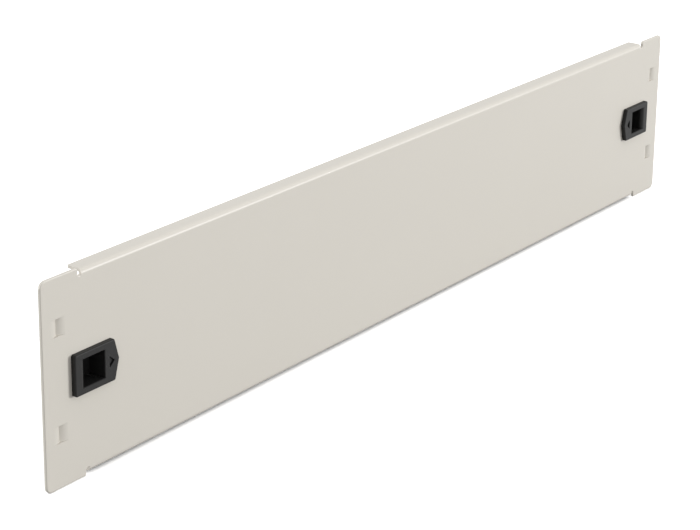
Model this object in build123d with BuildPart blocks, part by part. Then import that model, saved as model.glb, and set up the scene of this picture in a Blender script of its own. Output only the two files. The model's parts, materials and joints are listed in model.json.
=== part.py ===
from build123d import *
import os

# Rack blanking panel, two units high: one folded steel sheet that covers an empty
# place in a 19 inch rack, with a spring-loaded plastic slide latch at each end.
# Millimetres. X runs along the width, the face looks towards -Y and Z is up. The
# origin is the middle of the sheet's rear face, the plane that seats on the rails.

os.makedirs("parts", exist_ok=True)

# Rack standard
panel_width = 482.6
panel_height = 88.1
unit_height = 44.45
hole_inset = 8.75
hole_size = 9.5
rail_edge_inset = 16.3
rail_thickness = 2.0

# Folded sheet
sheet = 1.2
ear_radius = 3.0
notch_corner_radius = 0.8
edge_softness = 0.45
bend_radius = 2.0
flange_depth = 7.8
fold_inset = 1.0
top_ear_length = 20.5
bottom_ear_length = 22.2
relief_width = 2.0
relief_depth = 3.3
flange_corner_radius = 0.9

# Lanced bridge lugs on the ears
lug_width = 7.8
lug_height = 7.3
lug_depth = 1.25
lug_slit = 0.05

# Latch front plate
plate_inset = 15.3
plate_length = 22.5
plate_point = 2.5
plate_height = 17.6
plate_thickness = 2.2
plate_corner_radius = 1.0
plate_point_radius = 0.8
plate_edge_round = 0.5
arrow_length = 2.9
arrow_height = 5.1
arrow_depth = 0.8
arrow_gap = 2.6

# Finger pocket
pocket_rim = 5.3
pocket_length = 11.4
pocket_height = 12.0
pocket_depth = 8.6
pocket_roll = 2.0
pocket_wall = 1.1
pocket_floor = 1.2
pocket_chamfer = 0.25

# Rail tongue, snap legs and travel
tongue_reach = 3.3
tongue_height = 12.0
tongue_tip = 0.8
tongue_play = 0.3
leg_width = 8.0
leg_slit = 0.6
barb_overlap = 0.9
barb_land = 0.5
barb_length = 2.5
slide_travel = 3.8
slide_play = 0.15
face_play = 0.1

# Return spring
spring_diameter = 3.4
spring_wire = 0.35
spring_turns = 4.5
spring_seat_depth = 0.4
spring_clear = 0.2
spring_gap = 0.05
spring_slot_reach = 1.6
prong_length = 1.4
prong_width = 1.6

# Worked-out places of the panel
half_width = panel_width / 2
half_height = panel_height / 2
body_half_height = half_height - fold_inset
flange_back = flange_depth - sheet

# The lugs and latches sit above mid-height by the play of a lug in its hole
fastener_rise = (hole_size - lug_height) / 2

# Worked-out places of the latch, as distances from the panel's outer edge
plate_shoulder = plate_inset + plate_length
plate_tip = plate_shoulder + plate_point
pocket_outer = plate_inset + pocket_rim
pocket_inner = pocket_outer + pocket_length
neck_outer = pocket_outer - pocket_wall
neck_inner = pocket_inner + pocket_wall
neck_height = pocket_height + 2 * pocket_wall
opening_outer = neck_outer - slide_play
opening_inner = neck_inner + slide_travel + slide_play
opening_height = neck_height + 2 * slide_play
slot_end = opening_inner + spring_slot_reach
slot_height = spring_diameter + 4 * spring_clear

# Worked-out depths of the latch, front to back
plate_back = -sheet - face_play
plate_front = plate_back - plate_thickness
pocket_bottom = plate_front + pocket_depth
latch_rear = pocket_bottom + pocket_floor
spring_axis_y = -sheet / 4
spring_seat = neck_inner - spring_seat_depth

# Planes through the middle height of the lugs and latches
fastener_middle = (0, 0, fastener_rise)
front_plane = Plane(origin=fastener_middle, x_dir=(1, 0, 0), z_dir=(0, -1, 0))
side_plane = Plane(origin=fastener_middle, x_dir=(0, 1, 0), z_dir=(1, 0, 0))
level_plane = Plane(origin=fastener_middle, x_dir=(1, 0, 0), z_dir=(0, 0, 1))


def from_left(inset):
    """X of a place that lies inset from the panel's left edge."""
    return inset - half_width


# Panel: a flat blank with round ear corners, open above and below the bend lines
with BuildPart() as panel:
    with BuildSketch(Plane.XZ):
        RectangleRounded(panel_width, panel_height, ear_radius)
    extrude(amount=sheet)

    # Between the ears the blank ends at its bend lines, and each bend end is relieved
    bend_z = body_half_height - bend_radius
    fold_rows = ((1, top_ear_length), (-1, bottom_ear_length))
    for way, ear_length in fold_rows:
        relief_x = half_width - ear_length - relief_width / 2
        with BuildSketch(Plane.XZ):
            with Locations((0, way * (half_height + bend_z) / 2)):
                Rectangle(2 * relief_x, half_height - bend_z)
            with Locations((-relief_x, way * half_height), (relief_x, way * half_height)):
                SlotOverall(2 * relief_depth, relief_width, rotation=90)
        extrude(amount=sheet, mode=Mode.SUBTRACT)

    # The ears' corners at the reliefs are round, and their front edges are soft
    for row in (0, -1):
        corners = panel.edges().filter_by(Axis.Y).group_by(Axis.Z)[row].sort_by(Axis.X)
        fillet(corners[1:-1], radius=notch_corner_radius)
    front_rim = panel.faces().sort_by(Axis.Y)[0].edges()
    fillet(front_rim.filter_by(lambda edge: edge.length < half_width), edge_softness)

    # Flanges: a bend and a flat leg, swept along the width between the reliefs
    half_sheet = sheet / 2
    for way, ear_length in fold_rows:
        flange_inset = ear_length + relief_width
        leg_z = way * (body_half_height - half_sheet)
        with BuildSketch(Plane.YZ.offset(from_left(flange_inset))):
            with BuildLine():
                bend = TangentArc(
                    (-half_sheet, way * bend_z),
                    (bend_radius - sheet, leg_z),
                    tangent=(0, way),
                )
                Line(bend @ 1, (flange_back, leg_z))
            trace(line_width=sheet)
        extrude(amount=panel_width - 2 * flange_inset)

    # The rear corners of the flanges are rounded off
    flange_corners = panel.edges().filter_by(Axis.Z).group_by(Axis.Y)[-1]
    fillet(flange_corners, radius=flange_corner_radius)

    # Lanced lugs: each window in an ear is bridged by a strip pressed to a crease
    lug_x = half_width - hole_inset
    lug_z = unit_height / 2
    half_lug = lug_width / 2
    lug_places = [(x, z) for x in (-lug_x, lug_x) for z in (-lug_z, lug_z)]
    with BuildSketch(front_plane):
        with Locations(*lug_places):
            Rectangle(lug_width, lug_height + 2 * lug_slit)
    extrude(amount=sheet, mode=Mode.SUBTRACT)

    # Each half of a strip curves back from the sheet; its rear arc is concentric
    front_radius = (half_lug**2 + lug_depth**2) / (2 * lug_depth)
    rear_share = 1 - sheet / front_radius
    nose_x = half_lug * (1 - rear_share)
    nose_y = lug_depth * rear_share
    for x, z in lug_places:
        with BuildSketch(level_plane.offset(z - lug_height / 2)):
            with BuildLine():
                for way in (-1, 1):
                    end_x = x + way * half_lug
                    crease = (x, lug_depth - sheet)
                    nose = (x + way * nose_x, nose_y)
                    TangentArc((end_x, -sheet), crease, tangent=(-way, 0))
                    Line((end_x, -sheet), (end_x, 0))
                    TangentArc((end_x, 0), nose, tangent=(-way, 0))
                ThreePointArc((x - nose_x, nose_y), (x, lug_depth), (x + nose_x, nose_y))
            make_face()
        extrude(amount=lug_height)

    # Latch cut-outs: a window for the neck, a slot for the spring and a prong in it
    window_length = opening_inner - opening_outer
    slot_length = slot_end - opening_inner
    for side in (-1, 1):
        with BuildSketch(front_plane):
            with Locations((side * (half_width - (opening_outer + opening_inner) / 2), 0)):
                Rectangle(window_length, opening_height)
            with Locations((side * (half_width - (opening_inner + slot_end) / 2), 0)):
                Rectangle(slot_length, slot_height)
        extrude(amount=sheet, mode=Mode.SUBTRACT)
        with BuildSketch(front_plane):
            with Locations((side * (half_width - slot_end + prong_length / 2), 0)):
                Rectangle(prong_length, prong_width)
        extrude(amount=sheet)

panel.part.label = "panel"
export_step(panel.part, "parts/panel.step")


# Left latch: one moulding, drawn on the left and mirrored for the right
with BuildPart() as left_latch:
    # Front plate with its point towards the middle of the panel
    half_plate = plate_height / 2
    with BuildSketch(front_plane.offset(-plate_back)):
        with BuildLine():
            Polyline(
                (from_left(plate_inset), half_plate),
                (from_left(plate_shoulder), half_plate),
                (from_left(plate_tip), 0),
                (from_left(plate_shoulder), -half_plate),
                (from_left(plate_inset), -half_plate),
                close=True,
            )
        make_face()
    extrude(amount=plate_thickness)
    outer_corners = left_latch.edges().filter_by(Axis.Y).sort_by(Axis.X)[:2]
    fillet(outer_corners, radius=plate_corner_radius)
    point_corners = left_latch.edges().filter_by(Axis.Y).sort_by(Axis.X)[-3:]
    fillet(point_corners, radius=plate_point_radius)
    plate_rim = left_latch.faces().sort_by(Axis.Y)[0].edges()
    fillet(plate_rim, radius=plate_edge_round)

    # Neck: the pocket's box, which passes through the sheet
    neck_middle = from_left((neck_outer + neck_inner) / 2)
    with BuildSketch(front_plane.offset(-plate_back)):
        with Locations((neck_middle, 0)):
            Rectangle(neck_inner - neck_outer, neck_height)
    extrude(amount=plate_back - latch_rear)

    # Tongue that reaches behind the rail, with a ramp that the rail pushes aside
    tongue_front = rail_thickness + tongue_play
    tongue_inset = rail_edge_inset - tongue_reach
    ramp_run = latch_rear - tongue_front - tongue_tip
    with BuildSketch(level_plane.offset(-tongue_height / 2)):
        with BuildLine():
            Polyline(
                (from_left(neck_outer), tongue_front),
                (from_left(tongue_inset), tongue_front),
                (from_left(tongue_inset), tongue_front + tongue_tip),
                (from_left(tongue_inset + ramp_run), latch_rear),
                (from_left(neck_outer), latch_rear),
                close=True,
            )
        make_face()
    extrude(amount=tongue_height)

    # Barbs above and below the neck, behind the sheet
    leg_middle = (pocket_outer + pocket_inner) / 2
    leg_start = from_left(leg_middle - leg_width / 2)
    for way in (-1, 1):
        neck_z = way * neck_height / 2
        barb_z = neck_z + way * (slide_play + barb_overlap)
        with BuildSketch(side_plane.offset(leg_start)):
            with BuildLine():
                Polyline(
                    (face_play, neck_z),
                    (face_play, barb_z),
                    (face_play + barb_land, barb_z),
                    (face_play + barb_land + barb_length, neck_z),
                    close=True,
                )
            make_face()
        extrude(amount=leg_width)

    # Finger pocket: a deep box whose outer edge is rolled over
    roll_start = (from_left(pocket_outer - pocket_roll), plate_front)
    roll_end = (from_left(pocket_outer), plate_front + pocket_roll)
    with BuildSketch(level_plane.offset(-pocket_height / 2)):
        with BuildLine():
            TangentArc(roll_start, roll_end, tangent=(1, 0))
            Polyline(
                roll_end,
                (from_left(pocket_outer), pocket_bottom),
                (from_left(pocket_inner), pocket_bottom),
                (from_left(pocket_inner), plate_front),
                roll_start,
            )
        make_face()
    extrude(amount=pocket_height, mode=Mode.SUBTRACT)
    pocket_rim_edges = left_latch.faces().sort_by(Axis.Y)[0].inner_wires()[0].edges()
    chamfer(pocket_rim_edges, length=pocket_chamfer)

    # Slits free the barbs' legs from the rest of the neck
    slit_depth = latch_rear - face_play
    with BuildSketch(front_plane.offset(-latch_rear)):
        for side in (-1, 1):
            slit_x = from_left(leg_middle + side * (leg_width + leg_slit) / 2)
            for way in (-1, 1):
                with Locations((slit_x, way * (neck_height - pocket_wall) / 2)):
                    Rectangle(leg_slit, pocket_wall)
    extrude(amount=slit_depth, mode=Mode.SUBTRACT)

    # Hollow and round seat for the spring, under the plate's point
    hollow_front = spring_axis_y - spring_diameter / 2 - spring_clear
    with BuildSketch(front_plane.offset(-plate_back)):
        with Locations((from_left((neck_inner + slot_end + spring_clear) / 2), 0)):
            Rectangle(slot_end + spring_clear - neck_inner, slot_height)
    extrude(amount=plate_back - hollow_front, mode=Mode.SUBTRACT)
    with BuildSketch(side_plane.offset(from_left(spring_seat))):
        with Locations((spring_axis_y, 0)):
            Circle(spring_diameter / 2 + spring_clear)
    extrude(amount=spring_seat_depth, mode=Mode.SUBTRACT)

    # Engraved triangle that points the way the latch opens
    arrow_start = pocket_inner + arrow_gap
    with BuildSketch(front_plane.offset(-plate_front)):
        with BuildLine():
            Polyline(
                (from_left(arrow_start), arrow_height / 2),
                (from_left(arrow_start + arrow_length), 0),
                (from_left(arrow_start), -arrow_height / 2),
                close=True,
            )
        make_face()
    extrude(amount=-arrow_depth, mode=Mode.SUBTRACT)

left_latch.part.label = "left_latch"
export_step(left_latch.part, "parts/left_latch.step")

with BuildPart() as right_latch:
    mirror(left_latch.part, about=Plane.YZ)

right_latch.part.label = "right_latch"
export_step(right_latch.part, "parts/right_latch.step")


# Left return spring: an open coil between the latch's seat and the slot's end
coil_start = spring_seat + spring_wire / 2 + spring_gap
coil_length = slot_end - spring_seat - spring_wire - 2 * spring_gap
with BuildPart() as left_spring:
    with BuildLine():
        coil = Helix(
            pitch=coil_length / spring_turns,
            height=coil_length,
            radius=(spring_diameter - spring_wire) / 2,
            center=(from_left(coil_start), spring_axis_y, fastener_rise),
            direction=(1, 0, 0),
        )
    with BuildSketch(Plane(origin=coil @ 0, z_dir=coil % 0)):
        Circle(spring_wire / 2)
    sweep(path=coil, is_frenet=True)

left_spring.part.label = "left_spring"
export_step(left_spring.part, "parts/left_spring.step")

with BuildPart() as right_spring:
    mirror(left_spring.part, about=Plane.YZ)

right_spring.part.label = "right_spring"
export_step(right_spring.part, "parts/right_spring.step")
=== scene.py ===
import json
import logging
from dataclasses import dataclass
from enum import Enum
from math import pi, radians, tau
from typing import Any

import bmesh
import bpy
from mathutils import Matrix, Vector


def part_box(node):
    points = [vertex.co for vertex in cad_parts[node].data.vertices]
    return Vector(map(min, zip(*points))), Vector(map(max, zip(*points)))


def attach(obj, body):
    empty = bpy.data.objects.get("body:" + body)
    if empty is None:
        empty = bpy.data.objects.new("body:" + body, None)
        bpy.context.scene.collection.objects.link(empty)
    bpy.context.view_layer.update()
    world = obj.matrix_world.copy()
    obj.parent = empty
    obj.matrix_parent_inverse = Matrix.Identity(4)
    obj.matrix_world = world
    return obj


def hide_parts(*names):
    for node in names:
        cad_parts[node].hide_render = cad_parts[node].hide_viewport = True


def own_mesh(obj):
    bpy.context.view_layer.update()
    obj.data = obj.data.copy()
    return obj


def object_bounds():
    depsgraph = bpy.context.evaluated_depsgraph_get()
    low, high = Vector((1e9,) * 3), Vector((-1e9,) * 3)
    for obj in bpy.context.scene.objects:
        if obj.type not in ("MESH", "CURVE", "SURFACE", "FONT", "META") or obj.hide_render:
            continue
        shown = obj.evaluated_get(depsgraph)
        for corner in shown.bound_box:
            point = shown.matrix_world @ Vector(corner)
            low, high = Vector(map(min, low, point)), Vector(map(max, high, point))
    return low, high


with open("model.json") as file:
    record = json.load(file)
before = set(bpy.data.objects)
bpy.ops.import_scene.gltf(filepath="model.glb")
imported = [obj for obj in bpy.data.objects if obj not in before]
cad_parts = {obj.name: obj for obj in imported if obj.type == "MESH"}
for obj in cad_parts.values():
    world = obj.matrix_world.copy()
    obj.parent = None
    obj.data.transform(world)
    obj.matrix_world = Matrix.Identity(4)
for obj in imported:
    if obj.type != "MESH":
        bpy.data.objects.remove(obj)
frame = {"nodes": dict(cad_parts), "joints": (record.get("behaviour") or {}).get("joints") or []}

# Dresses the rack blanking panel: a folded, powder-coated steel sheet with a black
# slide latch at each end and a small return spring behind each latch. Metres, in the
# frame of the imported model: X along the width, the face towards -Y, Z up.

CAD_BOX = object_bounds()
MM = 0.001
WHITE = (1.0, 1.0, 1.0, 1.0)
NOISE_MIDDLE = 0.5

logging.basicConfig(level=logging.INFO, format="%(message)s")
log = logging.getLogger("blanking_panel")


class Side(Enum):
    """The two ends of the panel, as the sign of X."""

    LEFT = -1
    RIGHT = 1

    @property
    def word(self) -> str:
        """The side's name as it stands in node and joint names."""
        return self.name.lower()


class Signal:
    """A number or colour that flows through a material, ready for arithmetic."""

    def __init__(self, sheet: "NodeSheet", socket: Any) -> None:
        """Wraps one output socket.

        Args:
            sheet: the node sheet that the socket belongs to.
            socket: the output socket.
        """
        self.sheet = sheet
        self.socket = socket

    def _math(self, operation: str, first: Any, second: Any) -> "Signal":
        """Adds a Math node.

        Args:
            operation: the node's operation.
            first: the left operand.
            second: the right operand.

        Returns:
            The node's value.
        """
        settings = {"operation": operation}
        return self.sheet.add("ShaderNodeMath", settings, {0: first, 1: second})

    def __add__(self, other: Any) -> "Signal":
        """The sum with a signal or number."""
        return self._math("ADD", self, other)

    def __radd__(self, other: Any) -> "Signal":
        """The sum with a number on the left."""
        return self._math("ADD", other, self)

    def __sub__(self, other: Any) -> "Signal":
        """The difference with a signal or number."""
        return self._math("SUBTRACT", self, other)

    def __rsub__(self, other: Any) -> "Signal":
        """A number on the left less this signal."""
        return self._math("SUBTRACT", other, self)

    def __mul__(self, other: Any) -> "Signal":
        """The product with a signal or number."""
        return self._math("MULTIPLY", self, other)

    def __rmul__(self, other: Any) -> "Signal":
        """The product with a number on the left."""
        return self._math("MULTIPLY", other, self)

    def highest(self, other: Any) -> "Signal":
        """The larger of this signal and another."""
        return self._math("MAXIMUM", self, other)


class NodeSheet:
    """The node tree of one material or world, filled through one method."""

    # The Mix node's colour sockets, which share their names with its other sockets.
    MIX_LOW = 6
    MIX_HIGH = 7
    MIX_RESULT = 2

    def __init__(self, owner: Any) -> None:
        """Empties the owner's node tree.

        Args:
            owner: the material or world to write into.
        """
        owner.use_nodes = True
        self.tree = owner.node_tree
        self.tree.nodes.clear()

    def add(
        self,
        kind: str,
        settings: dict[str, Any] | None = None,
        inputs: dict[Any, Any] | None = None,
        output: Any = 0,
    ) -> Signal:
        """Adds a node, sets it up and feeds its sockets.

        Args:
            kind: the node's type name.
            settings: the node's own properties.
            inputs: a value or signal for each socket, by name or number.
            output: the output to hand back, by name or number.

        Returns:
            The chosen output.
        """
        node = self.tree.nodes.new(kind)
        for name, value in (settings or {}).items():
            setattr(node, name, value)
        for name, value in (inputs or {}).items():
            if isinstance(value, Signal):
                self.tree.links.new(value.socket, node.inputs[name])
            else:
                node.inputs[name].default_value = value
        return Signal(self, node.outputs[output] if len(node.outputs) else None)

    def object_place(self) -> Signal:
        """The place on the piece in metres, from its object coordinates."""
        return self.add("ShaderNodeTexCoord", output="Object")

    def noise(self, place: Signal, wave: float, detail: float = 2.0) -> Signal:
        """Smooth noise from 0 to 1.

        Args:
            place: the coordinates to read.
            wave: the length of one wave, in metres.
            detail: how many finer octaves are added.

        Returns:
            The noise value.
        """
        inputs = {"Vector": place, "Scale": 1.0 / wave, "Detail": detail}
        return self.add("ShaderNodeTexNoise", {}, inputs)

    def blend(
        self, factor: Signal, low: tuple[float, ...], high: tuple[float, ...]
    ) -> Signal:
        """Blends two colours.

        Args:
            factor: 0 for the low colour, 1 for the high one.
            low: the colour at 0.
            high: the colour at 1.

        Returns:
            The blended colour.
        """
        settings = {"data_type": "RGBA"}
        inputs = {"Factor": factor, self.MIX_LOW: low, self.MIX_HIGH: high}
        return self.add("ShaderNodeMix", settings, inputs, self.MIX_RESULT)

    def bump(self, height: Signal, depth: float) -> Signal:
        """Turns a height into a bent normal.

        Args:
            height: the height, 0 to 1.
            depth: what a height of 1 is, in metres.

        Returns:
            The normal.
        """
        inputs = {"Height": height, "Distance": depth, "Strength": 1.0}
        return self.add("ShaderNodeBump", {}, inputs)

    def matt(self, level: float) -> Signal:
        """An even grey shader that scatters a share of its light."""
        return self.add("ShaderNodeBsdfDiffuse", {}, {"Color": (level, level, level, 1.0)})


def scaled(colour: tuple[float, ...], factor: float) -> tuple[float, ...]:
    """A colour made darker or lighter.

    Args:
        colour: red, green and blue, linear.
        factor: what each is multiplied by.

    Returns:
        The colour with an alpha of 1.
    """
    return (*(min(channel * factor, 1.0) for channel in colour), 1.0)


@dataclass(frozen=True)
class Finish:
    """The surface of one material slot of the record."""

    slot: str
    colour: tuple[float, float, float]
    roughness: float
    tone_spread: float
    gloss_spread: float

    def material(self) -> bpy.types.Material:
        """Makes the material.

        Returns:
            The finished material, named after its slot.
        """
        material = bpy.data.materials.new(f"{self.slot}_finish")
        sheet = NodeSheet(material)
        surface = self.surface(sheet)
        sheet.add("ShaderNodeOutputMaterial", {}, {"Surface": surface})
        return material

    def surface(self, sheet: NodeSheet) -> Signal:
        """Writes the shader; each finish has its own."""
        raise NotImplementedError

    def tinted(self, sheet: NodeSheet, tone: Signal) -> Signal:
        """Varies the colour a little over the surface.

        Args:
            sheet: the node sheet to write into.
            tone: 0 for the darkest tone, 1 for the lightest.

        Returns:
            The colour.
        """
        low = scaled(self.colour, 1.0 - self.tone_spread)
        high = scaled(self.colour, 1.0 + self.tone_spread)
        return sheet.blend(tone, low, high)

    def uneven(self, noise: Signal) -> Signal:
        """The roughness, varied a little by a noise from 0 to 1."""
        return self.roughness + (noise - NOISE_MIDDLE) * self.gloss_spread


@dataclass(frozen=True)
class PowderCoat(Finish):
    """Warm light grey powder coat with a fine orange peel and a satin gloss."""

    slot: str = "powder_coated_steel"
    colour: tuple[float, float, float] = (0.625, 0.595, 0.537)
    roughness: float = 0.42
    tone_spread: float = 0.02
    gloss_spread: float = 0.08
    peel_wave: float = 1.3 * MM
    grain_wave: float = 0.32 * MM
    cloud_wave: float = 60 * MM
    peel_depth: float = 0.012 * MM
    peel_share: float = 0.8
    cloud_share: float = 0.6

    def surface(self, sheet: NodeSheet) -> Signal:
        """Writes the shader.

        Args:
            sheet: the node sheet to write into.

        Returns:
            The surface shader.
        """
        place = sheet.object_place()
        peel = sheet.noise(place, self.peel_wave, detail=1.0)
        grain = sheet.noise(place, self.grain_wave)
        cloud = sheet.noise(place, self.cloud_wave)
        tone = cloud * self.cloud_share + grain * (1.0 - self.cloud_share)
        height = peel * self.peel_share + grain * (1.0 - self.peel_share)
        inputs = {
            "Base Color": self.tinted(sheet, tone),
            "Roughness": self.uneven(grain),
            "Normal": sheet.bump(height, self.peel_depth),
        }
        return sheet.add("ShaderNodeBsdfPrincipled", {}, inputs)


@dataclass(frozen=True)
class MouldedPlastic(Finish):
    """Black moulded plastic with a fine spark-eroded texture."""

    slot: str = "black_plastic"
    colour: tuple[float, float, float] = (0.010, 0.010, 0.0097)
    roughness: float = 0.5
    tone_spread: float = 0.12
    gloss_spread: float = 0.14
    grain_wave: float = 0.16 * MM
    mottle_wave: float = 2.2 * MM
    grain_depth: float = 0.010 * MM
    sheen: float = 0.25

    def surface(self, sheet: NodeSheet) -> Signal:
        """Writes the shader.

        Args:
            sheet: the node sheet to write into.

        Returns:
            The surface shader.
        """
        place = sheet.object_place()
        grain = sheet.noise(place, self.grain_wave)
        mottle = sheet.noise(place, self.mottle_wave, detail=3.0)
        inputs = {
            "Base Color": self.tinted(sheet, mottle),
            "Roughness": self.uneven(grain),
            "Specular IOR Level": self.sheen,
            "Normal": sheet.bump(grain, self.grain_depth),
        }
        return sheet.add("ShaderNodeBsdfPrincipled", {}, inputs)


@dataclass(frozen=True)
class SpringWire(Finish):
    """Bright drawn spring wire with a faint mottle."""

    slot: str = "spring_steel"
    colour: tuple[float, float, float] = (0.62, 0.61, 0.59)
    roughness: float = 0.3
    tone_spread: float = 0.08
    gloss_spread: float = 0.15
    mottle_wave: float = 0.4 * MM
    scratch_depth: float = 0.003 * MM

    def surface(self, sheet: NodeSheet) -> Signal:
        """Writes the shader.

        Args:
            sheet: the node sheet to write into.

        Returns:
            The surface shader.
        """
        place = sheet.object_place()
        mottle = sheet.noise(place, self.mottle_wave, detail=3.0)
        inputs = {
            "Base Color": self.tinted(sheet, mottle),
            "Metallic": 1.0,
            "Roughness": self.uneven(mottle),
            "Normal": sheet.bump(mottle, self.scratch_depth),
        }
        return sheet.add("ShaderNodeBsdfPrincipled", {}, inputs)


def dress(node: str, material: bpy.types.Material) -> None:
    """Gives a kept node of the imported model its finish.

    Args:
        node: the node's name.
        material: the finish.
    """
    for holder in frame["nodes"][node].material_slots:
        holder.material = material


@dataclass
class SheetPanel:
    """The folded sheet, kept as packed and given its powder coat."""

    finish: Finish
    node: str = "panel"

    def build(self) -> None:
        """Dresses the sheet."""
        dress(self.node, self.finish.material())
        log.info("%s: powder coat", self.node)


@dataclass
class SlideLatches:
    """The two latch mouldings, kept as packed and given their plastic."""

    finish: Finish

    def build(self) -> None:
        """Dresses both latches."""
        material = self.finish.material()
        for side in Side:
            dress(f"{side.word}_latch", material)
            log.info("%s_latch: moulded plastic", side.word)


@dataclass
class ReturnSprings:
    """The two coil springs, rebuilt as wound wire in place of their imported nodes."""

    finish: Finish
    wire: float = 0.35 * MM
    open_turns: float = 3.0
    closed_turns: float = 1.0
    ring_points: int = 10
    turn_steps: int = 28
    merge_gap: float = 0.0035 * MM
    body: str = "panel"

    def build(self) -> None:
        """Makes, dresses and places both springs."""
        material = self.finish.material()
        for side in Side:
            node = f"{side.word}_spring"
            mesh = self.coil(node)
            spring = bpy.data.objects.new(f"{side.word}_return_spring", mesh)
            bpy.context.scene.collection.objects.link(spring)
            mesh.materials.append(material)
            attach(spring, self.body)
            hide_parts(node)
            self.shorten(spring, side, node)
            log.info("%s: coil of %d faces", spring.name, len(mesh.polygons))

    def coil(self, node: str) -> bpy.types.Mesh:
        """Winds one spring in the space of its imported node.

        Args:
            node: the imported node's name.

        Returns:
            The spring's mesh.
        """
        low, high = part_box(node)
        middle = (low + high) / 2
        radius = (high.z - low.z - self.wire) / 2
        length = high.x - low.x - self.wire
        closed_rise = self.closed_turns * self.wire
        open_rise = length - 2 * closed_rise
        start = Vector((low.x + self.wire / 2, middle.y, middle.z))
        coil = bmesh.new()
        placed = Matrix.Translation(start + Vector((0, 0, radius)))
        bmesh.ops.create_circle(
            coil, cap_ends=True, segments=self.ring_points, radius=self.wire / 2
        )
        bmesh.ops.transform(
            coil,
            matrix=placed @ Matrix.Rotation(pi / 2, 4, "X"),
            verts=coil.verts,
        )
        live = coil.verts[:] + coil.edges[:] + coil.faces[:]
        sections = (
            (self.closed_turns, closed_rise),
            (self.open_turns, open_rise),
            (self.closed_turns, closed_rise),
        )
        for turns, rise in sections:
            steps = round(turns * self.turn_steps)
            made = bmesh.ops.spin(
                coil,
                geom=live,
                cent=start,
                axis=(1, 0, 0),
                dvec=(rise / steps, 0, 0),
                angle=turns * tau,
                steps=steps,
                use_merge=False,
                use_duplicate=False,
            )
            live = made["geom_last"]
        bmesh.ops.remove_doubles(coil, verts=coil.verts, dist=self.merge_gap)
        bmesh.ops.recalc_face_normals(coil, faces=coil.faces)
        for face in coil.faces:
            face.smooth = len(face.verts) == 4
        mesh = bpy.data.meshes.new(f"{node}_coil")
        coil.to_mesh(mesh)
        coil.free()
        return mesh

    def shorten(self, spring: bpy.types.Object, side: Side, node: str) -> None:
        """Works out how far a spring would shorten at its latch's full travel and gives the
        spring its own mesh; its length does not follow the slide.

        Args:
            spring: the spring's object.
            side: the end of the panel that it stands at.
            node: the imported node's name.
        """
        joint = f"{side.word}_latch_slide"
        travel = next(j for j in frame["joints"] if j["name"] == joint)["range_m"][1]
        low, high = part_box(node)
        length = high.x - low.x
        (length - travel) / length
        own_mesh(spring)


@dataclass(frozen=True)
class Lamp:
    """One soft square lamp, aimed at the panel; metres and watts."""

    name: str
    place: tuple[float, float, float]
    side: float
    power: float

    def hang(self) -> None:
        """Adds the lamp to the scene."""
        data = bpy.data.lights.new(self.name, "AREA")
        data.shape = "SQUARE"
        data.size = self.side
        data.energy = self.power
        lamp = bpy.data.objects.new(self.name, data)
        lamp.location = self.place
        aim = -Vector(self.place)
        lamp.rotation_euler = aim.to_track_quat("-Z", "Y").to_euler()
        bpy.context.scene.collection.objects.link(lamp)


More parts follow.
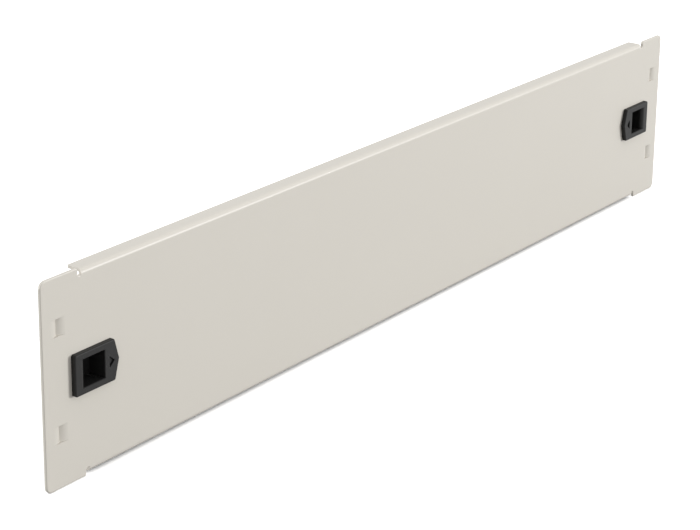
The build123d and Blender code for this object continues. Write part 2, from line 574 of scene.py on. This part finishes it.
@dataclass
class Studio:
    """White surroundings, soft lamps and the camera.

    Places are in metres, angles in degrees and the lens in millimetres. The world's
    ambient strength and the floor's bounce are shares of white, as light.
    """

    floor_drop: float = 0.03 * MM
    floor_half: float = 12.0
    floor_white: float = 1.45
    floor_bounce: float = 0.08
    ambient: float = 0.95
    lamps: tuple[Lamp, ...] = (
        Lamp("key", (4.2, -5.2, 0.75), 1.2, 275.0),
        Lamp("back", (-3.6, 3.0, 0.5), 0.8, 90.0),
    )
    eye: tuple[float, float, float] = (-0.77183, -0.53525, 0.33250)
    heading: float = 53.661
    dip: float = 17.770
    lean: float = 0.677
    lens: float = 109.21
    shift: float = -0.15
    nearest: float = 0.01
    farthest: float = 100.0

    def build(self) -> None:
        """Sets up the floor, the surroundings, the lamps and the camera."""
        bpy.context.scene.view_settings.view_transform = "Standard"
        self.floor()
        self.surroundings()
        for lamp in self.lamps:
            lamp.hang()
        self.camera()
        log.info("studio: %d lamps", len(self.lamps))

    def floor(self) -> None:
        """Lays a floor just below the panel, white to look at and dim as a light."""
        plane = bmesh.new()
        low = Matrix.Translation((0, 0, CAD_BOX[0].z - self.floor_drop))
        bmesh.ops.create_grid(
            plane, x_segments=1, y_segments=1, size=self.floor_half, matrix=low
        )
        mesh = bpy.data.meshes.new("studio_floor")
        plane.to_mesh(mesh)
        plane.free()
        floor = bpy.data.objects.new("studio_floor", mesh)
        bpy.context.scene.collection.objects.link(floor)
        material = bpy.data.materials.new("studio_floor")
        sheet = NodeSheet(material)
        straight = sheet.add("ShaderNodeLightPath", output="Is Camera Ray")
        extra = straight * (self.floor_white - 1.0)
        lift = sheet.add("ShaderNodeBsdfDiffuse", {}, {"Color": extra})
        white = sheet.add("ShaderNodeAddShader", {}, {0: sheet.matt(1.0), 1: lift})
        sides = {0: self.seen(sheet), 1: sheet.matt(self.floor_bounce), 2: white}
        surface = sheet.add("ShaderNodeMixShader", {}, sides)
        sheet.add("ShaderNodeOutputMaterial", {}, {"Surface": surface})
        mesh.materials.append(material)

    @staticmethod
    def seen(sheet: NodeSheet) -> Signal:
        """Tells the camera's view, also mirrored or through glass, from light.

        Args:
            sheet: the node sheet to write into.

        Returns:
            1 for a ray that the camera sees by, else 0.
        """
        rays = [
            sheet.add("ShaderNodeLightPath", output=name)
            for name in ("Is Camera Ray", "Is Glossy Ray", "Is Transmission Ray")
        ]
        return rays[0].highest(rays[1]).highest(rays[2])

    def surroundings(self) -> None:
        """Makes the world white to look at and a little dimmer as a light."""
        world = bpy.data.worlds.new("studio_world")
        bpy.context.scene.world = world
        sheet = NodeSheet(world)
        strength = self.seen(sheet) * (1.0 - self.ambient) + self.ambient
        inputs = {"Color": WHITE, "Strength": strength}
        light = sheet.add("ShaderNodeBackground", {}, inputs)
        sheet.add("ShaderNodeOutputWorld", {}, {"Surface": light})

    def camera(self) -> None:
        """Stands the camera where the photograph was taken."""
        data = bpy.data.cameras.new("camera")
        data.lens = self.lens
        data.shift_y = self.shift
        data.clip_start = self.nearest
        data.clip_end = self.farthest
        camera = bpy.data.objects.new("camera", data)
        camera.matrix_world = (
            Matrix.Translation(self.eye)
            @ Matrix.Rotation(radians(-self.heading), 4, "Z")
            @ Matrix.Rotation(radians(90 - self.dip), 4, "X")
            @ Matrix.Rotation(radians(self.lean), 4, "Z")
        )
        bpy.context.scene.collection.objects.link(camera)
        bpy.context.scene.camera = camera


def main() -> None:
    """Builds the sub-assemblies in order."""
    SheetPanel(PowderCoat()).build()
    SlideLatches(MouldedPlastic()).build()
    ReturnSprings(SpringWire()).build()
    Studio().build()


if __name__ == "__main__":
    main()
